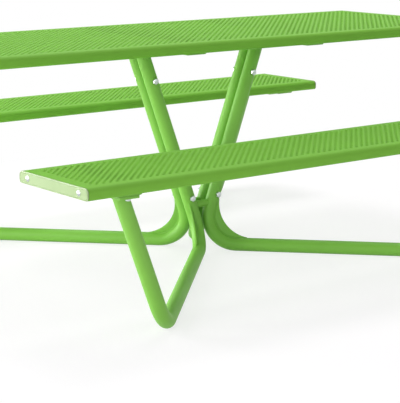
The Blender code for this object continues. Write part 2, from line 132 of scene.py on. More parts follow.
def cloudy(tree, place, patch, detail, colours, roughness):
    """Soft patches of a real size. Colour and roughness both run from their first to their second value."""
    size = {"Vector": place, "Scale": 1 / patch, "Detail": detail}
    noise = add_node(tree, "ShaderNodeTexNoise", inputs=size).outputs["Fac"]
    colour = add_node(tree, "ShaderNodeValToRGB", inputs={"Fac": noise})
    for stop, card in zip(colour.color_ramp.elements, colours):
        stop.color = linear(card)
    limits = {"Value": noise, "To Min": roughness[0], "To Max": roughness[1]}
    shine = add_node(tree, "ShaderNodeMapRange", inputs=limits).outputs["Result"]
    return {"Base Color": colour.outputs["Color"], "Roughness": shine}


print("sizes in the materials are in metres: 1 mm is", MM)

# %% [markdown]
# ## Powder-coated steel
#
# Frame, sheets and end plates are steel under a baked polyester powder. The powder melts into a film of
# even colour that stays a little wavy, like the skin of an orange. The eye sees a clear green with a
# broad, soft shine. The waves are far too shallow to be modelled, so a bump gives them to the shine only.

# %% Powder coat
COAT_CLOUD = 60 * MM
PEEL_SIZE = 2.5 * MM
PEEL_DEPTH = 0.02 * MM


def powder_coat(name, colours, roughness, gloss):
    """Polyester powder on steel: an even colour, faint clouds in its shine, and a fine wavy skin."""
    material, tree = new_material(name)
    place = add_node(tree, "ShaderNodeTexCoord").outputs["Object"]
    coat = cloudy(tree, place, COAT_CLOUD, detail=2.0, colours=colours, roughness=roughness)
    size = {"Vector": place, "Scale": 1 / PEEL_SIZE, "Detail": 1.0}
    peel = add_node(tree, "ShaderNodeTexNoise", inputs=size).outputs["Fac"]
    waves = {"Height": peel, "Distance": PEEL_DEPTH, "Strength": 1.0}
    coat["Normal"] = add_node(tree, "ShaderNodeBump", inputs=waves).outputs["Normal"]
    coat["IOR"] = 1.5
    coat["Specular IOR Level"] = gloss
    shader = add_node(tree, "ShaderNodeBsdfPrincipled", inputs=coat)
    add_node(tree, "ShaderNodeOutputMaterial", inputs={"Surface": shader.outputs["BSDF"]})
    return material


print("powder coat: waves of", PEEL_SIZE / MM, "mm,", PEEL_DEPTH / MM, "mm deep")

# %% [markdown]
# ## One coat, three looks
#
# The same powder looks different on each kind of piece. The tubes have a soft shine, the pierced sheets
# look drier and rougher, and the end plates are smoother. Their paler, greyer green is painted sheen: the
# glare of strong light from the left on them, made part of their colour. One material could tell them
# apart by a mask. Three materials from one recipe are easier to read and to change.

# %% Coats of tubes, end plates and sheets
COAT_GREENS = ("#78B43F", "#7DBB44")
# The end plates' paler, greyer green is painted sheen: the glare of strong light from the left, made part of
# their colour.
PAINTED_SHEEN_CAP_GREENS = ("#95AB7A", "#9BB180")
FINISHES = {
    "frame_coat": powder_coat("powder_coated_steel", COAT_GREENS, roughness=(0.48, 0.56), gloss=0.5),
    "cap_coat_painted_sheen": powder_coat("powder_coated_end_plate_painted_sheen", PAINTED_SHEEN_CAP_GREENS, roughness=(0.22, 0.28), gloss=0.5),
    "sheet_coat": powder_coat(
        "powder_coated_perforated_sheet", COAT_GREENS, roughness=(0.60, 0.68), gloss=0.12
    ),
}
print("coats:", ", ".join(material.name for material in FINISHES.values()))

# %% [markdown]
# ## Zinc-plated steel
#
# Bolts and nuts have a thin bright coat of zinc. A metal has no colour under its shine: the eye sees the
# surroundings, tinted by the metal, here to a pale and slightly bluish grey. The shine is cloudy because
# the plating grows in small crystals. They are drawn a few millimetres wide, coarser than real ones, so
# as to show.

# %% Zinc plate
ZINC_GREYS = ("#BCC2C3", "#D8DCDC")
ZINC_PATCH = 4 * MM
ZINC_ROUGHNESS = (0.26, 0.36)


def zinc_plate():
    """Bright zinc on steel: a pale metal with a faintly cloudy shine."""
    material, tree = new_material("zinc_plated_steel")
    place = add_node(tree, "ShaderNodeTexCoord").outputs["Object"]
    metal = cloudy(tree, place, ZINC_PATCH, detail=3.0, colours=ZINC_GREYS, roughness=ZINC_ROUGHNESS)
    metal["Metallic"] = 1.0
    shader = add_node(tree, "ShaderNodeBsdfPrincipled", inputs=metal)
    add_node(tree, "ShaderNodeOutputMaterial", inputs={"Surface": shader.outputs["BSDF"]})
    return material


FINISHES["zinc"] = zinc_plate()
print("plating:", FINISHES["zinc"].name)

# %% [markdown]
# ## Surfaces from arrays
#
# Each piece is a set of points and faces in arrays, and goes into its mesh at once. Adding points one by
# one would be slow for the thousands of holes. A shape that is open at its ends is closed with flat
# faces, and the signed volume under all faces tells whether they look outwards: where it is negative,
# they are turned.


# %% Grids and shells
def grid_quads(rows, columns):
    """Corners of the quads between neighbouring rows of points. The last column is joined to the first."""
    row, column = np.meshgrid(np.arange(rows - 1), np.arange(columns), indexing="ij")
    ahead = (column + 1) % columns
    low, high = row * columns, (row + 1) * columns
    return np.stack([low + column, low + ahead, high + ahead, high + column], -1).reshape(-1, 4)


def closed_rings(rings):
    """A closed shell from rings of points, (rows, columns, 3): the wall between them and two flat caps."""
    rows, columns = rings.shape[:2]
    first = np.arange(columns)[None, ::-1]
    last = np.arange(columns)[None] + (rows - 1) * columns
    return rings.reshape(-1, 3), [grid_quads(rows, columns), first, last]


def joined(shells):
    """Several shells as one: their points in a row, and their faces counted on."""
    starts = np.cumsum([0] + [len(points) for points, _ in shells])
    faces = [corners + start for (_, group), start in zip(shells, starts) for corners in group]
    return np.concatenate([points for points, _ in shells]), faces


def signed_volume(points, faces):
    """A sixth of the sum of a . (b x c) over the triangles of all faces."""
    total = 0.0
    for corners in faces:
        fan = points[corners]
        a, b, c = fan[:, :1], fan[:, 1:-1], fan[:, 2:]
        total += np.sum(a * np.cross(b, c)) / 6
    return total


square = [[0, 0], [1, 0], [1, 1], [0, 1]]
cube = closed_rings(np.array([[[x, y, z] for x, y in square] for z in (0, 1)], float))
print("signed volume of a unit cube:", signed_volume(*cube))

# %% Put a piece into the scene
SHARP_ANGLE = math.radians(35.0)


def add_piece(name, shell, finish, replaces=()):
    """Puts a shell into the scene as one piece on the table's body, facing outwards and shaded smooth."""
    points, faces = shell
    if signed_volume(points, faces) < 0:
        faces = [corners[:, ::-1] for corners in faces]
    mesh = bpy.data.meshes.new(name)
    mesh.vertices.add(len(points))
    mesh.vertices.foreach_set("co", points.astype(np.float32).ravel())
    corners = np.concatenate([group.ravel() for group in faces])
    sizes = np.concatenate([np.full(len(group), group.shape[1]) for group in faces])
    mesh.loops.add(len(corners))
    mesh.loops.foreach_set("vertex_index", corners.astype(np.int32))
    mesh.polygons.add(len(sizes))
    mesh.polygons.foreach_set("loop_start", (np.cumsum(sizes) - sizes).astype(np.int32))
    mesh.update(calc_edges=True)
    mesh.validate()
    mesh.shade_smooth()
    mesh.set_sharp_from_angle(angle=SHARP_ANGLE)
    mesh.materials.append(FINISHES[finish])

    piece = bpy.data.objects.new(name, mesh)
    bpy.context.scene.collection.objects.link(piece)
    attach(piece, "root")
    if replaces:
        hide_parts(*replaces)
    print(f"  {name}: {len(sizes)} faces")


# %% Directions, boxes and sides
LEFT_RIGHT = (("left", -1), ("right", 1))
FRONT_BACK = (("front", -1), ("back", 1))


def unit(vectors):
    """Each vector divided by its length."""
    return vectors / np.linalg.norm(vectors, axis=-1, keepdims=True)


def placed(points, origin, x, y, z):
    """Points given along three directions, moved to their place: origin + a x + b y + c z."""
    return np.asarray(origin, float) + points @ np.array([x, y, z], float)


def node_box(node):
    """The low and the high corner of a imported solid."""
    low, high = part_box(node)
    return np.array(low), np.array(high)


print("table top from", node_box("table_top")[0].round(4), "to", node_box("table_top")[1].round(4))

# %% [markdown]
# ## Rolled edges
#
# Table top and seats are steel sheets whose long edges are rolled over: flat top, quarter circle, short
# drop, tighter quarter circle and a small lip. Bevelling a box would round the edge but give no lip. Here
# the distance over the sheet from its middle line is what counts, so the flat sheet can be drawn first
# and bent afterwards.

# %% Rolled edge of a sheet
EDGE_TOP_RADIUS = 14 * MM
EDGE_BOTTOM_RADIUS = 10 * MM
EDGE_LIP = 8 * MM
PANEL_DEPTH = 34 * MM
EDGE_DROP = PANEL_DEPTH - EDGE_TOP_RADIUS - EDGE_BOTTOM_RADIUS
ARC_STEPS = 8
QUARTER = math.pi / 2


def rolled_edge(s, half_width):
    """Place and outward direction across a panel at distance s over the sheet from its middle line.

    With a the turn in the top arc, d the drop and b the turn in the bottom arc, each growing only in its
    own stretch: y = flat + R1 sin a - R2 (1 - cos b) - lip, z = -R1 (1 - cos a) - d - R2 sin b, and the
    direction is (sin(a + b), cos(a + b)). The other half is the mirror image.
    """
    flat = half_width - EDGE_TOP_RADIUS
    rest = np.abs(s)
    level = np.minimum(rest, flat)
    rest = np.maximum(rest - flat, 0.0)
    a = np.minimum(rest / EDGE_TOP_RADIUS, QUARTER)
    rest = np.maximum(rest - EDGE_TOP_RADIUS * QUARTER, 0.0)
    drop = np.minimum(rest, EDGE_DROP)
    rest = np.maximum(rest - EDGE_DROP, 0.0)
    b = np.minimum(rest / EDGE_BOTTOM_RADIUS, QUARTER)
    lip = np.maximum(rest - EDGE_BOTTOM_RADIUS * QUARTER, 0.0)
    side = np.sign(s)
    y = side * (level + EDGE_TOP_RADIUS * np.sin(a) - EDGE_BOTTOM_RADIUS * (1 - np.cos(b)) - lip)
    z = -EDGE_TOP_RADIUS * (1 - np.cos(a)) - drop - EDGE_BOTTOM_RADIUS * np.sin(b)
    return y, z, side * np.sin(a + b), np.cos(a + b)


def edge_lines(half_width):
    """Distances over the sheet where its rolled edge needs a line: both arcs in steps, and the lip's end."""
    start = half_width - EDGE_TOP_RADIUS
    top = start + EDGE_TOP_RADIUS * np.linspace(0.0, QUARTER, ARC_STEPS + 1)
    bottom = top[-1] + EDGE_DROP + EDGE_BOTTOM_RADIUS * np.linspace(0.0, QUARTER, ARC_STEPS + 1)
    return np.concatenate([top, bottom, [bottom[-1] + EDGE_LIP]])


print("over one rolled edge:", round(float(np.ptp(edge_lines(0.0))) / MM, 1), "mm")

# %% [markdown]
# ## Round holes
#
# The holes are on a nearly square grid, with one more hole in the middle of each rectangle. A Boolean
# with thousands of cutters would take minutes, and a transparent texture would leave no real holes. Here
# the sheet is a grid of rectangles half a pitch wide instead. The holes sit on every second crossing, so
# a rectangle loses a quarter circle at two opposite corners, and the rest is a strip of quads between the
# two arcs.


# %% Rectangles of a grid
def four_corners(crossings):
    """The values at the corners A B C D of every rectangle of a grid, in a row of four."""
    a, b, c, d = crossings[:-1, :-1], crossings[1:, :-1], crossings[1:, 1:], crossings[:-1, 1:]
    return np.stack([a, b, c, d], 2).reshape(-1, 4, *crossings.shape[2:])


def grid_cells(x_lines, s_lines, holes):
    """The corners of every rectangle and which have a hole, counted so that the holes are at A and C."""
    corners = four_corners(np.stack(np.meshgrid(x_lines, s_lines, indexing="ij"), -1))
    marks = four_corners(holes)
    others = marks[:, 1] | marks[:, 3]
    corners[others] = np.roll(corners[others], -1, axis=1)
    marks[others] = np.roll(marks[others], -1, axis=1)
    return corners, marks


test_cells = grid_cells(np.arange(3.0), np.arange(3.0), np.eye(3, dtype=bool))
print("a test grid with holes on its diagonal:", int(test_cells[1].sum()), "corners have a hole")

# %% Quarter circles cut off
HOLE_STEPS = 3


def pierced_cells(corners, marks, radius):
    """Points and faces of all rectangles, with a quarter circle cut off at A and C where they have a hole.

    A point of the arc round A is A + r (cos t AB + sin t AD), and one of the arc round C is
    C - r (cos t AD + sin t AB). Points of equal t face each other across the rectangle.
    """
    pierced = marks.any(1)
    plain = corners[~pierced].reshape(-1, 2)
    plain_quads = np.arange(len(plain)).reshape(-1, 4)

    a, b, c, d = np.moveaxis(corners[pierced], 1, 0)
    ab, ad = unit(b - a)[:, None], unit(d - a)[:, None]
    near = radius * marks[pierced][:, 0, None, None]
    far = radius * marks[pierced][:, 2, None, None]
    t = np.linspace(0.0, QUARTER, HOLE_STEPS + 1)[None, :, None]
    near_arc = a[:, None] + near * (np.cos(t) * ab + np.sin(t) * ad)
    far_arc = c[:, None] - far * (np.cos(t) * ad + np.sin(t) * ab)
    cells = np.concatenate([near_arc, far_arc, b[:, None], d[:, None]], 1)

    per_cell = cells.shape[1]
    first = len(plain) + per_cell * np.arange(len(cells))[:, None]
    k = np.arange(HOLE_STEPS)[None]
    n, m = first + k, first + HOLE_STEPS + 1 + k
    strip = np.stack([n, m, m + 1, n + 1], -1).reshape(-1, 4)
    ends = np.array([[0, per_cell - 2, HOLE_STEPS + 1], [HOLE_STEPS, 2 * HOLE_STEPS + 1, per_cell - 1]])
    triangles = (first[:, :, None] + ends[None]).reshape(-1, 3)
    points = np.concatenate([plain, cells.reshape(-1, 2)])
    return points, np.concatenate([plain_quads, strip]), triangles


_, test_quads, test_triangles = pierced_cells(*test_cells, 0.2)
print("the pierced test grid has", len(test_quads), "quads and", len(test_triangles), "triangles")

# %% [markdown]
# ## From a drawing to a sheet
#
# The rectangles above share no points yet, and the sheet has no thickness. Merge by Distance and a
# Solidify modifier could do both. With whole arrays it takes a few lines and leaves nothing to chance:
# points in the same place get one number, a copy of the skin is laid one thickness inside, and walls
# close every open border.

# %% Merge and thicken
SAME_PLACE = 0.0001 * MM


def merged(points, quads, triangles):
    """One number for points in the same place. A quad that loses a corner becomes a triangle."""
    keys = np.round(points / SAME_PLACE).astype(np.int64)
    _, kept, renamed = np.unique(keys, axis=0, return_index=True, return_inverse=True)
    renamed = renamed.ravel()
    quads, triangles = renamed[quads], renamed[triangles]
    thin_far = quads[:, 1] == quads[:, 2]
    thin_near = quads[:, 0] == quads[:, 3]
    spared = np.concatenate([quads[thin_far][:, [0, 1, 3]], quads[thin_near][:, [0, 1, 2]]])
    return points[kept], quads[~thin_far & ~thin_near], np.concatenate([triangles, spared])


def thickened(points, outward, faces, thickness):
    """A closed shell from an open skin: the skin, a copy one thickness inside, and walls along open borders.

    A border is an edge u to v that no other face runs along from v to u.
    """
    count = len(points)
    inner = [corners[:, ::-1] + count for corners in faces]
    edges = [np.stack([group, np.roll(group, -1, 1)], -1).reshape(-1, 2) for group in faces]
    edges = np.concatenate(edges)
    forward = edges[:, 0] * count + edges[:, 1]
    backward = edges[:, 1] * count + edges[:, 0]
    u, v = edges[~np.isin(forward, backward)].T
    walls = np.stack([v, u, u + count, v + count], -1)
    return np.concatenate([points, points - thickness * outward]), [*faces, *inner, walls]


tile = np.array([[0, 0, 0], [1, 0, 0], [1, 1, 0], [0, 1, 0]], float)
tile_shell = thickened(tile, np.array([[0.0, 0.0, 1.0]]), [np.array([[0, 1, 2, 3]])], 0.5)
print("a unit tile, half a unit thick, holds", signed_volume(*tile_shell))

# %% [markdown]
# ## Perforated sheets
#
# Each sheet leaves a plain border round its field of holes, and its short ends are folded down behind the
# end plates. Rows of holes are counted from the middle of the panel, as a punching machine would, with
# the small shift along the panel that the pattern has on the real table. The table top is made in two
# halves, because one mesh with all its holes would be too heavy.

# %% Where the holes are
HOLE_PITCH_X = 21.65 * MM
HOLE_PITCH_Y = 22.6 * MM
HOLE_SHIFT = 3.0 * MM
PLAIN_EDGE = 25 * MM
PLAIN_END = 22.5 * MM


def hole_lines(reach, pitch):
    """Grid lines half a pitch apart on both sides of the middle, up to reach."""
    count = int(2 * reach / pitch)
    return pitch / 2 * np.arange(-count, count + 1)


def hole_pattern(low, high):
    """Grid lines along a panel and over its sheet, and the crossings that have a hole: every second one."""
    half_width = (high[1] - low[1]) / 2
    field_x = HOLE_SHIFT + hole_lines(high[0] - PLAIN_END, HOLE_PITCH_X)
    field_s = hole_lines(half_width - PLAIN_EDGE, HOLE_PITCH_Y)
    edge = edge_lines(half_width)
    x_lines = np.concatenate([[low[0]], field_x, [high[0]]])
    s_lines = np.concatenate([-edge[::-1], field_s, edge])

    inside_x = (x_lines > field_x[0]) & (x_lines < field_x[-1])
    inside_s = (s_lines > field_s[0]) & (s_lines < field_s[-1])
    steps_x = np.arange(len(x_lines)) - len(x_lines) // 2
    steps_s = np.arange(len(s_lines)) - len(s_lines) // 2
    every_second = (steps_x[:, None] + steps_s[None]) % 2 == 1
    return x_lines, s_lines, inside_x[:, None] & inside_s[None] & every_second


for panel in ("table_top", "front_seat", "back_seat"):
    print("holes in", panel, int(hole_pattern(*node_box(panel))[2].sum()))

# %% Sheet and folded ends
HOLE_RADIUS = 5.4 * MM
SHEET_THICKNESS = 2.5 * MM
FLANGE_DEPTH = 26 * MM
FOLD_STEPS = 6


def perforated_sheet(low, high, x_from=-math.inf, x_to=math.inf):
    """The pierced, rolled sheet of a panel, or the stretch of it between two grid lines."""
    x_lines, s_lines, holes = hole_pattern(low, high)
    kept = (x_lines >= x_from - MM) & (x_lines <= x_to + MM)
    corners, marks = grid_cells(x_lines[kept], s_lines, holes[kept])
    flat, quads, triangles = merged(*pierced_cells(corners, marks, HOLE_RADIUS))
    y, z, out_y, out_z = rolled_edge(flat[:, 1], (high[1] - low[1]) / 2)
    points = np.stack([flat[:, 0], (low[1] + high[1]) / 2 + y, high[2] + z], -1)
    outward = np.stack([np.zeros_like(y), out_y, out_z], -1)
    return thickened(points, outward, [quads, triangles], SHEET_THICKNESS)


def end_flange(low, high, side):
    """The folded end of a sheet: a strip with a round lower edge, carried across under the flat top."""
    reach = (high[1] - low[1]) / 2 - EDGE_TOP_RADIUS
    turn = np.linspace(0.0, math.pi, FOLD_STEPS + 1)
    half = SHEET_THICKNESS / 2
    outer = high[0] if side > 0 else low[0]
    x = outer - side * half * (1 - np.cos(turn))
    z = high[2] - FLANGE_DEPTH + half * (1 - np.sin(turn))
    x = np.concatenate([x, [x[-1], x[0]]])
    z = np.concatenate([z, np.full(2, high[2] - SHEET_THICKNESS)])
    y = (low[1] + high[1]) / 2 + reach * np.array([[-1.0], [1.0]])
    return closed_rings(np.stack(np.broadcast_arrays(x[None], y, z[None]), -1))


flange_volume = abs(signed_volume(*end_flange(*node_box("front_seat"), 1)))
print("steel in a seat's folded end:", round(float(flange_volume) / MM**3 / 1000, 1), "cubic centimetres")

# %% Make the sheets
low, high = node_box("table_top")
halves = (("left", -1, -math.inf, HOLE_SHIFT), ("right", 1, HOLE_SHIFT, math.inf))
for side, sign, x_from, x_to in halves:
    shells = [perforated_sheet(low, high, x_from, x_to), end_flange(low, high, sign)]
    add_piece(f"table_top_perforated_{side}", joined(shells), "sheet_coat", ["table_top"])
for row, _ in FRONT_BACK:
    low, high = node_box(f"{row}_seat")
    shells = [perforated_sheet(low, high)] + [end_flange(low, high, sign) for _, sign in LEFT_RIGHT]
    add_piece(f"{row}_seat_perforated", joined(shells), "sheet_coat", [f"{row}_seat"])

# %% [markdown]
# ## Plates with soft edges
#
# End plates, seat arms, leg plates and the crescent webs are cut from flat steel, and the coat leaves
# their edges softly rounded. A Bevel modifier would do for simple outlines, but not for a pressed groove.
# One function makes them all from an outline: it is moved inwards while the height rises, along a quarter
# circle at each face.

# %% Plate helpers
SOFT_STEPS = 3


def arc(centre, radius, start, end, steps):
    """Points along an arc: centre + radius (cos t, sin t)."""
    t = np.linspace(start, end, steps + 1)
    return np.asarray(centre) + radius * np.stack([np.cos(t), np.sin(t)], -1)


def soft_edge(edge):
    """A quarter circle from a face to its side, as (inset, depth): edge (1 - sin a), edge (1 - cos a)."""
    a = np.linspace(0.0, QUARTER, SOFT_STEPS + 1)
    return edge * np.stack([1 - np.sin(a), 1 - np.cos(a)], -1)


def formed_plate(outline, thickness, front, back):
    """A plate over a counter-clockwise outline, in its own x, y and thickness directions.

    Front and back are lists of (inset, depth), from inside the face out to the side: the outline is moved
    in by the inset at that depth under the face. Each point moves along (n1 + n2) / (1 + n1 . n2), n1 and
    n2 being the outward directions of the two sides that meet there.
    """
    ahead = unit(np.roll(outline, -1, 0) - outline)
    side = np.stack([ahead[:, 1], -ahead[:, 0]], -1)
    before = np.roll(side, 1, 0)
    move = (side + before) / (1 + np.sum(side * before, -1, keepdims=True))
    inset = np.concatenate([front[:, 0], back[::-1, 0]])[:, None, None]
    height = np.concatenate([thickness / 2 - front[:, 1], back[::-1, 1] - thickness / 2])[:, None, None]
    flat = outline[None] - inset * move[None]
    return closed_rings(np.concatenate([flat, np.broadcast_to(height, flat.shape[:2] + (1,))], -1))


tile_shell = formed_plate(tile[:, :2], 0.5, soft_edge(0.1), soft_edge(0.1))
print("the tile with soft edges holds", round(abs(float(signed_volume(*tile_shell))), 4))

# %% [markdown]
# ## End plates
#
# A plate closes each end of the table top and the seats. It has the panel's own outline, so the formula
# of the rolled edge gives it, and a groove is pressed into it along the rim. The groove could be a bump
# in the material, but its two walls catch the light from different sides, and that needs real geometry.

# %% Make the end plates
PLATE_EDGE = 1.2 * MM
RIM_WIDTH = 3.8 * MM
GROOVE_WIDTH = 2.0 * MM
GROOVE_DEPTH = 1.2 * MM
GROOVE_STEPS = 8


def grooved_face():
    """A groove beside the rim, depth (1 + cos a) / 2 with a from -pi to pi across it, then the soft edge."""
    a = np.linspace(-math.pi, math.pi, GROOVE_STEPS + 1)
    inset = RIM_WIDTH - GROOVE_WIDTH * a / (2 * math.pi)
    groove = np.stack([inset, GROOVE_DEPTH * (1 + np.cos(a)) / 2], -1)
    return np.concatenate([groove, soft_edge(PLATE_EDGE)])


def panel_outline(half_width):
    """The closed outline of a panel's end, counter-clockwise with the top at height 0."""
    s = edge_lines(half_width)[:-1]
    y, z, _, _ = rolled_edge(s, half_width)
    right = np.stack([y, z], -1)
    left = right * (-1, 1)
    return np.concatenate([right[::-1], left])


def end_plate(node, sign):
    """A plate over the end of a panel, with the groove on its outside."""
    low, high = node_box(node)
    outline = panel_outline((high[1] - low[1]) / 2)
    points, faces = formed_plate(outline, high[0] - low[0], grooved_face(), soft_edge(PLATE_EDGE))
    origin = ((low[0] + high[0]) / 2, (low[1] + high[1]) / 2, high[2])
    return placed(points, origin, (0, sign, 0), (0, 0, 1), (sign, 0, 0)), faces


for panel in ("table_top", "front_seat", "back_seat"):
    for side, sign in LEFT_RIGHT:
        node = f"{panel}_end_plate_{side}"
        # The end plates take the coat whose pale green is painted sheen.
        add_piece(f"{panel}_end_cap_{side}", end_plate(node, sign), "cap_coat_painted_sheen", [node])

# %% [markdown]
# ## Seat arms and leg plates
#
# Flat bars lie on the cut tops of the tubes and carry the rails of the seats and of the table. A scaled
# cube with a Bevel would do nearly as well. The plate function gives the sawn corners a radius of their
# own, larger than the soft edge that the coat leaves.

# %% Make the bars
BAR_CORNER = 5 * MM
BAR_EDGE = 1.2 * MM
CORNER_STEPS = 4


def rounded_rectangle(width, length, radius):
    """The outline of a rectangle with round corners, counter-clockwise."""
    x, y = width / 2 - radius, length / 2 - radius
    starts = ((x, -y, -QUARTER), (x, y, 0.0), (-x, y, QUARTER), (-x, -y, math.pi))
    return np.concatenate([arc((cx, cy), radius, t, t + QUARTER, CORNER_STEPS) for cx, cy, t in starts])


def flat_bar(node):
    """A level bar that fills its node's box."""
    low, high = node_box(node)
    size = high - low
    outline = rounded_rectangle(size[0], size[1], BAR_CORNER)
    points, faces = formed_plate(outline, size[2], soft_edge(BAR_EDGE), soft_edge(BAR_EDGE))
    return points + (low + high) / 2, faces


for row, _ in FRONT_BACK:
    for side, _ in LEFT_RIGHT:
        for bar in ("seat_arm", "leg_plate"):
            node = f"{row}_{side}_{bar}"
            add_piece(f"{node}_bar", flat_bar(node), "frame_coat", [node])

# %% [markdown]
# ## Bent tubes
#
# Each tube is one piece: from under the table down to the floor, out along the floor, and up to a bench.
# A curve with a bevel depth would come close, but its ends can't be cut level. All of a tube lies in one
# plane, so one direction square to that plane guides the circle along the whole axis, and the circle
# never twists.

# %% Tube axis
TUBE_RADIUS = 22.75 * MM
BEND_RADIUS = 97.5 * MM
LEG_LEAN = math.radians(20.45)
HUB_PAST_CENTRE = 6.4 * MM
HALF_GAP = 0.15 * MM
LEG_Y = TUBE_RADIUS + HALF_GAP
RISER_Y = node_box("back_left_tube")[1][1] - TUBE_RADIUS


def tube_corners(row, side):
    """Where the tube's straight stretches would meet: leg top, hub, foot and riser top."""
    across, depth = dict(LEFT_RIGHT)[side], dict(FRONT_BACK)[row]
    lean = np.array([across * math.tan(LEG_LEAN), 0.0, 1.0])
    leg_top = node_box(f"{row}_{side}_tube")[1][2]
    arm_low, arm_high = node_box(f"{row}_{side}_seat_arm")
    riser_top = arm_low[2]
    riser_x = (arm_low[0] + arm_high[0]) / 2
    hub = np.array([-across * HUB_PAST_CENTRE, depth * LEG_Y, TUBE_RADIUS])
    foot_x = riser_x - (riser_top - TUBE_RADIUS) * lean[0]
    foot = np.array([foot_x, depth * RISER_Y, TUBE_RADIUS])
    return hub + lean * (leg_top - TUBE_RADIUS), hub, foot, foot + lean * (riser_top - TUBE_RADIUS)


CORNERS = {(row, side): tube_corners(row, side) for row, _ in FRONT_BACK for side, _ in LEFT_RIGHT}
print("front left foot at", CORNERS["front", "left"][2].round(4))

# %% Make the tubes
BEND_STEPS = 24
TUBE_SIDES = 48


def bend(before, corner, after):
    """The arc at a corner: start + R (u sin t + w (1 - cos t)), with u the way in and w square to it."""
    u, v = unit(corner - before), unit(after - corner)
    turn = math.acos(np.dot(u, v))
    w = unit(v - u * np.dot(u, v))
    start = corner - u * BEND_RADIUS * math.tan(turn / 2)
    t = np.linspace(0.0, turn, BEND_STEPS + 1)[:, None]
    return start + BEND_RADIUS * (u * np.sin(t) + w * (1 - np.cos(t))), u * np.cos(t) + w * np.sin(t)


def round_tube(corners):
    """A circle of the tube's radius carried along the bent axis, and cut level at both tops."""
    leg_top, hub, foot, riser_top = corners
    first, first_way = bend(leg_top, hub, foot)
    second, second_way = bend(hub, foot, riser_top)
    axis = np.concatenate([[leg_top], first, second, [riser_top]])
    way = np.concatenate([[first_way[0]], first_way, second_way, [second_way[-1]]])
    square = unit(np.cross(leg_top - hub, foot - hub))
    t = np.linspace(0.0, 2 * math.pi, TUBE_SIDES, endpoint=False)[None, :, None]
    rings = axis[:, None] + TUBE_RADIUS * (np.cos(t) * square + np.sin(t) * np.cross(way, square)[:, None])
    for ring, direction, top in ((0, way[0], leg_top[2]), (-1, way[-1], riser_top[2])):
        rings[ring] += direction * ((top - rings[ring, :, 2]) / direction[2])[:, None]
    return closed_rings(rings)


for (row, side), corners in CORNERS.items():
    add_piece(f"{row}_{side}_bent_tube", round_tube(corners), "frame_coat", [f"{row}_{side}_tube"])

# %% [markdown]
# ## Crescent webs
#
# A flat crescent fills the inside of each big bend and stiffens it. Its outer edge follows the tube, and
# its hollow edge is a wider circle that runs out along both straight stretches. It could be traced by eye
# from the photo. Worked out in the bend's own plane, along the floor run and square to it, it fits any
# bend.

# %% Make the webs
WEB_RADIUS = 119.5 * MM
WEB_THICKNESS = 6 * MM
WEB_TIP = 1.5 * MM
WEB_EDGE = 1.2 * MM
WEB_SINK = 2.2 * MM
WEB_STEPS = 28


def web_frame(corners):
    """The hub corner, the direction along the run, the one square to it, and the angle up to the leg."""
    leg_top, hub, foot, _ = corners
    along, leg = unit(foot - hub), unit(leg_top - hub)
    up = unit(leg - along * np.dot(along, leg))
    return hub, along, up, math.acos(np.dot(along, leg))


def in_corner(distance, angle):
    """The point equally far from the run and the leg: distance (1 / tan(angle / 2), 1)."""
    return distance * np.array([1 / math.tan(angle / 2), 1.0])


def crescent_web(corners):
    """A plate between the arc along the tube and the wider hollow arc, both square to run and leg."""
    hub, along, up, angle = web_frame(corners)
    edge = TUBE_RADIUS - WEB_SINK
    height = WEB_RADIUS + TUBE_RADIUS
    hollow_centre = in_corner(height, angle)
    tip = math.acos((height - TUBE_RADIUS - WEB_TIP) / WEB_RADIUS)
    run_tip = np.array([hollow_centre[0] - WEB_RADIUS * math.sin(tip), edge])
    mirror = np.array([[math.cos(angle), math.sin(angle)], [math.sin(angle), -math.cos(angle)]])
    leg_side, run_side = angle + QUARTER, 3 * QUARTER
    tube_edge = arc(in_corner(BEND_RADIUS, angle), BEND_RADIUS - edge, run_side, leg_side, WEB_STEPS)
    hollow_edge = arc(hollow_centre, WEB_RADIUS, leg_side + tip, run_side - tip, WEB_STEPS)
    outline = np.concatenate([[run_tip], tube_edge, [mirror @ run_tip], hollow_edge])
    points, faces = formed_plate(outline[::-1], WEB_THICKNESS, soft_edge(WEB_EDGE), soft_edge(WEB_EDGE))
    return placed(points, hub, along, up, np.cross(along, up)), faces


for (row, side), corners in CORNERS.items():
    add_piece(f"{row}_{side}_crescent", crescent_web(corners), "frame_coat", [f"{row}_{side}_bend_web"])

# %% [markdown]
# ## Hub spacers
#
# A round bar joins the two front legs, and another the two back legs, just above the bends. Its ends are
# hollowed to sit on the round legs. A Boolean could cut them. But where the bar is y off a leg's axis,
# the leg's wall is sqrt(R R - y y) / cos(lean) from the axis along the bar, which gives the bar's length
# there directly.

# %% Make the spacers
SPACER_SIDES = 32


def leg_x(height):
    """How far a leg's axis is from the middle at this height."""
    return (height - TUBE_RADIUS) * math.tan(LEG_LEAN) - HUB_PAST_CENTRE


def coped_end(node):
    """The rim of a spacer's +X end, where it meets the leg."""
    low, high = node_box(node)
    radius = (high[2] - low[2]) / 2
    t = np.linspace(0.0, 2 * math.pi, SPACER_SIDES, endpoint=False)
    off, z = radius * np.cos(t), (low[2] + high[2]) / 2 + radius * np.sin(t)
    x = leg_x(z) - np.sqrt(TUBE_RADIUS**2 - off**2) / math.cos(LEG_LEAN)
    return np.stack([x, (low[1] + high[1]) / 2 + off, z], -1)


for row, _ in FRONT_BACK:
    node = f"{row}_hub_spacer"
    rim = coped_end(node)
    add_piece(f"{node}_bar", closed_rings(np.stack([rim * (-1, 1, 1), rim])), "frame_coat", [node])

# %% [markdown]
# ## Weld beads
#
# Coated welds show as small rounded ridges where a tube meets a bar or a web. A curve with a round bevel
# would be too even. Each bead is a small circle carried along the joint, a little thicker and thinner in
# turn, as the welder's hand leaves it.

# %% One bead
BEAD_RADIUS = 3.2 * MM
BEAD_RIPPLE = 0.10
BEAD_WAVE = 5 * MM
BEAD_SIDES = 10


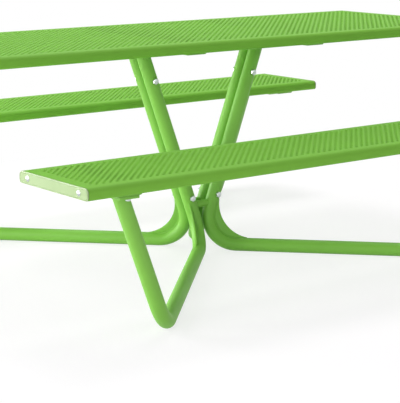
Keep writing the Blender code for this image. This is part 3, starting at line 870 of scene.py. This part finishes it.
def weld_bead(path, guide, closed):
    """A rippled tube along a path, of radius R (1 + ripple sin(2 pi run / wave)).

    The guide is a direction that the path never runs along. The wave is stretched until a whole number
    of them fits.
    """
    if closed:
        way = unit(np.roll(path, -1, 0) - np.roll(path, 1, 0))
    else:
        way = unit(np.gradient(path, axis=0))
    across = unit(np.cross(way, np.asarray(guide, float)))
    over = np.cross(across, way)
    steps = np.linalg.norm(np.diff(path, axis=0), axis=1)
    run = np.concatenate([[0.0], np.cumsum(steps)])
    total = run[-1] + (np.linalg.norm(path[0] - path[-1]) if closed else 0.0)
    waves = max(round(total / BEAD_WAVE), 1)
    radius = BEAD_RADIUS * (1 + BEAD_RIPPLE * np.sin(2 * math.pi * waves * run / total))
    t = np.linspace(0.0, 2 * math.pi, BEAD_SIDES, endpoint=False)[None, :, None]
    circle = np.cos(t) * across[:, None] + np.sin(t) * over[:, None]
    rings = path[:, None] + radius[:, None, None] * circle
    if not closed:
        return closed_rings(rings)
    rows = len(rings)
    around = grid_quads(rows + 1, BEAD_SIDES) % (rows * BEAD_SIDES)
    return rings.reshape(-1, 3), [around]


print("a bead is", 2 * BEAD_RADIUS / MM, "mm wide and swells every", BEAD_WAVE / MM, "mm")

# %% Beads round the tube tops and along the webs
OVAL_STEPS = 96
SEAM_STEPS = 60


def tube_top_path(top):
    """The level oval where a leaning tube is cut: R cos t / cos(lean) along X and R sin t along Y."""
    t = np.linspace(0.0, 2 * math.pi, OVAL_STEPS, endpoint=False)
    reach = TUBE_RADIUS / math.cos(LEG_LEAN)
    return top + np.stack([reach * np.cos(t), TUBE_RADIUS * np.sin(t), np.zeros_like(t)], -1)


def web_seam_bead(corners, face):
    """The bead along the inside of a bend, on the web's face half a thickness above or below its plane."""
    hub, along, up, angle = web_frame(corners)
    square = np.cross(along, up)
    centre, radius = in_corner(BEND_RADIUS, angle), BEND_RADIUS - TUBE_RADIUS
    seam = arc(centre, radius, 3 * QUARTER, angle + QUARTER, SEAM_STEPS)
    lift = np.full((len(seam), 1), face * WEB_THICKNESS / 2)
    path = placed(np.concatenate([seam, lift], 1), hub, along, up, square)
    return weld_bead(path, square, False)


for (row, side), corners in CORNERS.items():
    leg_top, _, _, riser_top = corners
    beads = [weld_bead(tube_top_path(top), (0, 0, 1), True) for top in (leg_top, riser_top)]
    beads += [web_seam_bead(corners, face) for face in (-1, 1)]
    add_piece(f"{row}_{side}_weld_beads", joined(beads), "frame_coat")

# %% [markdown]
# ## Bolts and nuts
#
# Bolt heads and nuts are hexagons whose corners are turned off at 30 degrees. A cone could cut them in a
# Boolean, but both facts are one formula: at each angle and height the radius is the smaller of the
# hexagon's and the cone's. Shanks end in a few turns of thread, where the radius rises and falls once per
# pitch along a helix.

# %% Hexagon heads and nuts
HEX_SIDES = 72
HEX_FACE = 0.95
CHAMFER_SLOPE = math.tan(math.radians(60))
CHAMFER_STEPS = 5


def turned(radius, t, z):
    """A closed shell round the z axis, with its points at (radius cos t, radius sin t, z)."""
    radius, t, z = np.broadcast_arrays(radius, t, z)
    return closed_rings(np.stack([radius * np.cos(t), radius * np.sin(t), z], -1))


def hexagon_radius(t, flats):
    """Distance from the middle to a hexagon's side at angle t: half the flats over cos(t from the flat)."""
    return flats / 2 / np.cos((t + math.pi / 6) % (math.pi / 3) - math.pi / 6)


def hex_body(flats, height, both_ends):
    """A hexagon prism from z = 0 to its height, with its corners turned off at the top or at both ends."""
    t = np.linspace(0.0, 2 * math.pi, HEX_SIDES, endpoint=False)
    face = HEX_FACE * flats / 2
    reach = (flats / math.sqrt(3) - face) / CHAMFER_SLOPE
    upper = height - np.linspace(0.0, reach, CHAMFER_STEPS + 1)
    z = np.concatenate([upper, height - upper[::-1] if both_ends else [0.0]])
    down = np.minimum(height - z, z) if both_ends else height - z
    cone = face + down * CHAMFER_SLOPE
    radius = np.minimum(hexagon_radius(t, flats)[None], cone[:, None])
    return turned(radius, t, z[:, None])


corner_reach = hexagon_radius(math.pi / 6, 2.0)
print("a hexagon's corners reach", round(float(corner_reach), 3), "times as far as its flats")

# %% Threaded shanks
SHANK_SIDES = 24
THREAD_PITCH = 1.75 * MM
THREAD_DEPTH = 0.5 * MM
THREAD_STEPS = 6
TIP_CUT = 0.5 * MM


def threaded_shank(diameter, length, threaded):
    """A shank from z = 0 down, threaded with the radius R - depth (1 + cos(2 pi z / pitch - t)) / 2."""
    t = np.linspace(0.0, 2 * math.pi, SHANK_SIDES, endpoint=False)[None]
    fine = np.arange(-length, -length + threaded, THREAD_PITCH / THREAD_STEPS)
    z = np.concatenate([fine, [-length + threaded, 0.0]])[:, None]
    wave = (1 + np.cos(2 * math.pi * z / THREAD_PITCH - t)) / 2
    cut = THREAD_DEPTH * wave * (z < -length + threaded) + TIP_CUT * (z <= -length)
    return turned(diameter / 2 - cut, t, z)


def hex_bolt(flats, head, diameter, length, thread):
    """A hexagon head on z = 0 and its shank below."""
    return joined([hex_body(flats, head, False), threaded_shank(diameter, length, thread)])


print("thread: one turn every", THREAD_PITCH / MM, "mm,", THREAD_DEPTH / MM, "mm deep")

# %% Which way a bolt looks
OUTWARD = {
    "front": ((1, 0, 0), (0, 0, 1), (0, -1, 0)),
    "back": ((1, 0, 0), (0, 0, -1), (0, 1, 0)),
    "down": ((1, 0, 0), (0, -1, 0), (0, 0, -1)),
    "left": ((0, -1, 0), (0, 0, 1), (-1, 0, 0)),
    "right": ((0, 1, 0), (0, 0, 1), (1, 0, 0)),
}


def facing(shell, origin, way):
    """A shell that was made along z, placed so that its top looks the stated way."""
    points, faces = shell
    return placed(points, origin, *OUTWARD[way]), faces


for way, axes in OUTWARD.items():
    print("a bolt that looks", way, "keeps its hand:", bool(np.linalg.det(axes) > 0))

# %% Through bolts and their nuts
THROUGH_FLATS = 18 * MM
THROUGH_HEAD = 7.5 * MM
THROUGH_DIAMETER = 12 * MM
THROUGH_THREAD = 22 * MM

for level in ("lower", "upper"):
    for side, _ in LEFT_RIGHT:
        node = f"through_bolt_{level}_{side}"
        low, high = node_box(node)
        middle = (low + high) / 2
        length = high[1] - low[1] - THROUGH_HEAD
        bolt = hex_bolt(THROUGH_FLATS, THROUGH_HEAD, THROUGH_DIAMETER, length, THROUGH_THREAD)
        seat = (middle[0], low[1] + THROUGH_HEAD, middle[2])
        add_piece(f"{node}_hex", facing(bolt, seat, "front"), "zinc", [node])

        node = f"through_nut_{level}_{side}"
        low, high = node_box(node)
        nut = hex_body(THROUGH_FLATS, high[1] - low[1], True)
        seat = (middle[0], low[1], middle[2])
        add_piece(f"{node}_hex", facing(nut, seat, "back"), "zinc", [node])

# %% Bolts under the bars
BAR_FLATS = 13 * MM
BAR_HEAD = 5.3 * MM
BAR_DIAMETER = 8 * MM
BAR_THREAD = 10 * MM

for row, _ in FRONT_BACK:
    for side, _ in LEFT_RIGHT:
        for bar in ("seat_arm", "leg_plate"):
            node = f"{row}_{side}_{bar}_bolt"
            low, high = node_box(node)
            middle = (low + high) / 2
            bolt = hex_bolt(BAR_FLATS, BAR_HEAD, BAR_DIAMETER, high[2] - low[2] - BAR_HEAD, BAR_THREAD)
            seat = (middle[0], middle[1], low[2] + BAR_HEAD)
            add_piece(f"{node}_hex", facing(bolt, seat, "down"), "zinc", [node])

# %% [markdown]
# ## Round-headed bolts
#
# Two bolts with low round heads hold each end plate. A sphere squashed flat would have a round edge,
# where the real head meets the plate at a clear angle. A cap cut off a large ball has that edge. The
# table's own end plates have no bolts among the solids, so theirs are placed like those of the seats.

# %% Round heads
DOME_DIAMETER = 17 * MM
DOME_REACH = 5.5 * MM
DOME_HEAD = 3.4 * MM
DOME_THREAD = 6 * MM
DOME_STEPS = 8
DOME_SIDES = 32
DOME_MIDDLE = 0.02


def dome_bolt(length):
    """A shallow ball cap on z = 0, whose ball's radius is (r r + h h) / 2 h, and its shank below."""
    r = DOME_DIAMETER / 2
    ball = (r * r + DOME_HEAD * DOME_HEAD) / (2 * DOME_HEAD)
    slope = np.linspace(DOME_MIDDLE, math.asin(r / ball), DOME_STEPS + 1)[::-1, None]
    t = np.linspace(0.0, 2 * math.pi, DOME_SIDES, endpoint=False)
    dome = turned(ball * np.sin(slope), t, DOME_HEAD - ball * (1 - np.cos(slope)))
    return joined([dome, threaded_shank(BAR_DIAMETER, length, DOME_THREAD)])


def end_shank(node):
    """How long an end bolt's shank is: all of the solid apart from its head."""
    low, high = node_box(node)
    return high[0] - low[0] - DOME_REACH


print("shank of an end bolt:", round(end_shank("back_seat_end_bolt_right_b") / MM, 2), "mm")

# %% Bolts in the end plates
END_BOLT_INSET = 43 * MM

for row, _ in FRONT_BACK:
    for side, sign in LEFT_RIGHT:
        for end in ("a", "b"):
            node = f"{row}_seat_end_bolt_{side}_{end}"
            low, high = node_box(node)
            outer = low[0] if sign < 0 else high[0]
            seat = (outer - sign * DOME_REACH, (low[1] + high[1]) / 2, (low[2] + high[2]) / 2)
            add_piece(f"{node}_dome", facing(dome_bolt(end_shank(node)), seat, side), "zinc", [node])

for side, sign in LEFT_RIGHT:
    low, high = node_box(f"table_top_end_plate_{side}")
    outer = low[0] if sign < 0 else high[0]
    bolt = dome_bolt(end_shank("back_seat_end_bolt_right_b"))
    for row, depth in FRONT_BACK:
        seat = (outer, depth * (high[1] - END_BOLT_INSET), (low[2] + high[2]) / 2)
        add_piece(f"table_end_bolt_{side}_{row}_dome", facing(bolt, seat, side), "zinc")

# %% [markdown]
# ## Rails
#
# The folded channels under the sheets hardly show, and mostly through the holes. Finer ones could be made
# like the plates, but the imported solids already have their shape, so they stay and get the frame's coat.

# %% Coat the solids that stay
for node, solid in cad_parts.items():
    if not solid.hide_render:
        solid.data.materials.clear()
        solid.data.materials.append(FINISHES["frame_coat"])
        print("stays:", node)

# %% [markdown]
# ## Studio floor
#
# The table stands on a white floor that runs out into a white background. A shadow catcher would need the
# compositor. Instead, the floor glows at three quarters of white by itself and adds a share of the light
# that falls on it, so soft shadows show near the table and are gone further off. Light from the table
# tints the floor green, and a touch less green in that share evens it out. For light that bounces, it is
# a plain white floor.

# %% Rays that look at something
WHITE = linear("#FFFFFF")


def seen_rays(tree):
    """One for camera, glossy and transmission rays, and zero for all others."""
    rays = add_node(tree, "ShaderNodeLightPath")
    seen = rays.outputs["Is Camera Ray"]
    for kind in ("Is Glossy Ray", "Is Transmission Ray"):
        both = {0: seen, 1: rays.outputs[kind]}
        seen = add_node(tree, "ShaderNodeMath", {"operation": "MAXIMUM"}, both).outputs[0]
    return seen


print("white for these rays:", WHITE)

# %% White of the floor
FLOOR_GLOW = 0.755
FLOOR_SHARE = 0.285
SHADOW_GREEN = 0.94
FADE_FROM = 0.9
FADE_TO = 1.9


def floor_white():
    """Glow plus a share of the light near the table, run out into white from FADE_FROM to FADE_TO."""
    material, tree = new_material("white_studio_floor")
    place = add_node(tree, "ShaderNodeTexCoord").outputs["Object"]
    far = add_node(tree, "ShaderNodeVectorMath", {"operation": "LENGTH"}, {0: place}).outputs["Value"]
    limits = {"Value": far, "From Min": FADE_FROM, "From Max": FADE_TO}
    smooth = {"interpolation_type": "SMOOTHSTEP"}
    fade = add_node(tree, "ShaderNodeMapRange", smooth, limits).outputs["Result"]
    white = add_node(tree, "ShaderNodeEmission", inputs={"Strength": 1.0}).outputs[0]
    glow = add_node(tree, "ShaderNodeEmission", inputs={"Strength": FLOOR_GLOW}).outputs[0]
    share = (FLOOR_SHARE, SHADOW_GREEN * FLOOR_SHARE, FLOOR_SHARE, 1.0)
    lit = add_node(tree, "ShaderNodeBsdfDiffuse", inputs={"Color": share}).outputs[0]
    near = add_node(tree, "ShaderNodeAddShader", inputs={0: glow, 1: lit}).outputs[0]
    shown = add_node(tree, "ShaderNodeMixShader", inputs={0: fade, 1: near, 2: white}).outputs[0]
    bounce = add_node(tree, "ShaderNodeBsdfDiffuse", inputs={"Color": WHITE}).outputs[0]
    both = {0: seen_rays(tree), 1: bounce, 2: shown}
    surface = add_node(tree, "ShaderNodeMixShader", inputs=both).outputs[0]
    add_node(tree, "ShaderNodeOutputMaterial", inputs={"Surface": surface})
    return material


print("floor: shadows show up to", FADE_FROM, "m from the middle, and are gone at", FADE_TO, "m")

# %% Floor
FLOOR_SIZE = 60.0
half = FLOOR_SIZE / 2
corners = [(-half, -half, 0.0), (half, -half, 0.0), (half, half, 0.0), (-half, half, 0.0)]
mesh = bpy.data.meshes.new("studio_floor")
mesh.from_pydata(corners, [], [(0, 1, 2, 3)])
mesh.materials.append(floor_white())
floor = bpy.data.objects.new("studio_floor", mesh)
bpy.context.scene.collection.objects.link(floor)
print("floor:", FLOOR_SIZE, "m wide")

# %% [markdown]
# ## Surround
#
# Behind the floor there is nothing but white. A white wall could stand there, but it would throw too much
# light on the table. A world can show one thing to the camera and to shiny surfaces, and give another,
# much weaker light to all the rest, which keeps the shadows.

# %% Surround
SURROUND_LIGHT = 0.2

world = bpy.data.worlds.new("studio_surround")
world.use_nodes = True
tree = world.node_tree
tree.nodes.clear()
weak = {"Color": WHITE, "Strength": SURROUND_LIGHT}
light = add_node(tree, "ShaderNodeBackground", inputs=weak).outputs[0]
shown = add_node(tree, "ShaderNodeBackground", inputs={"Color": WHITE, "Strength": 1.0}).outputs[0]
mix = add_node(tree, "ShaderNodeMixShader", inputs={0: seen_rays(tree), 1: light, 2: shown}).outputs[0]
add_node(tree, "ShaderNodeOutputWorld", inputs={"Surface": mix})
bpy.context.scene.world = world
print("surround:", SURROUND_LIGHT, "of white as light")

# %% [markdown]
# ## Lamps
#
# A sun would draw hard shadows, so all lamps are large soft areas. The strongest hangs over the table a
# little behind it: the tops turn bright and the holes in them stay dark. Those from behind and from the
# left draw pale lines on the tubes. Two weak ones in front keep the near sides from going black.

# %% Lamps
MIDDLE = (-0.2, -0.1, 0.4)
LAMPS = {
    "high_behind": ((1.2, 1.4, 5.8), (0.1, -0.1, 0.4), (2.2, 2.2), 203.0),
    "low_behind": ((-3.3, 4.9, 0.6), MIDDLE, (3.0, 1.1), 190.0),
    "low_left": ((-5.94, 1.44, 0.94), MIDDLE, (1.7, 1.7), 175.0),
    "key_behind_left": ((-3.9, 3.4, 3.3), MIDDLE, (2.5, 2.5), 125.0),
    "fill_left": ((-6.0, -3.0, 2.0), MIDDLE, (3.0, 3.0), 104.0),
    "fill_front": ((0.5, -6.5, 2.0), MIDDLE, (3.0, 3.0), 64.0),
}


def soft_light(name, place, target, size, watts):
    """A flat light of the stated width and height, at a place and turned to its target."""
    data = bpy.data.lights.new(name, "AREA")
    data.shape = "RECTANGLE"
    data.size, data.size_y = size
    data.energy = watts
    lamp = bpy.data.objects.new(name, data)
    lamp.location = place
    way = np.asarray(target, float) - np.asarray(place, float)
    yaw, level = math.atan2(way[1], way[0]), math.hypot(way[0], way[1])
    lamp.rotation_euler = (QUARTER - math.atan2(-way[2], level), 0.0, yaw - QUARTER)
    bpy.context.scene.collection.objects.link(lamp)
    print(f"  {name}: {watts} W from {round(float(np.linalg.norm(way)), 2)} m")


for name, (place, target, size, watts) in LAMPS.items():
    soft_light(name, place, target, size, watts)
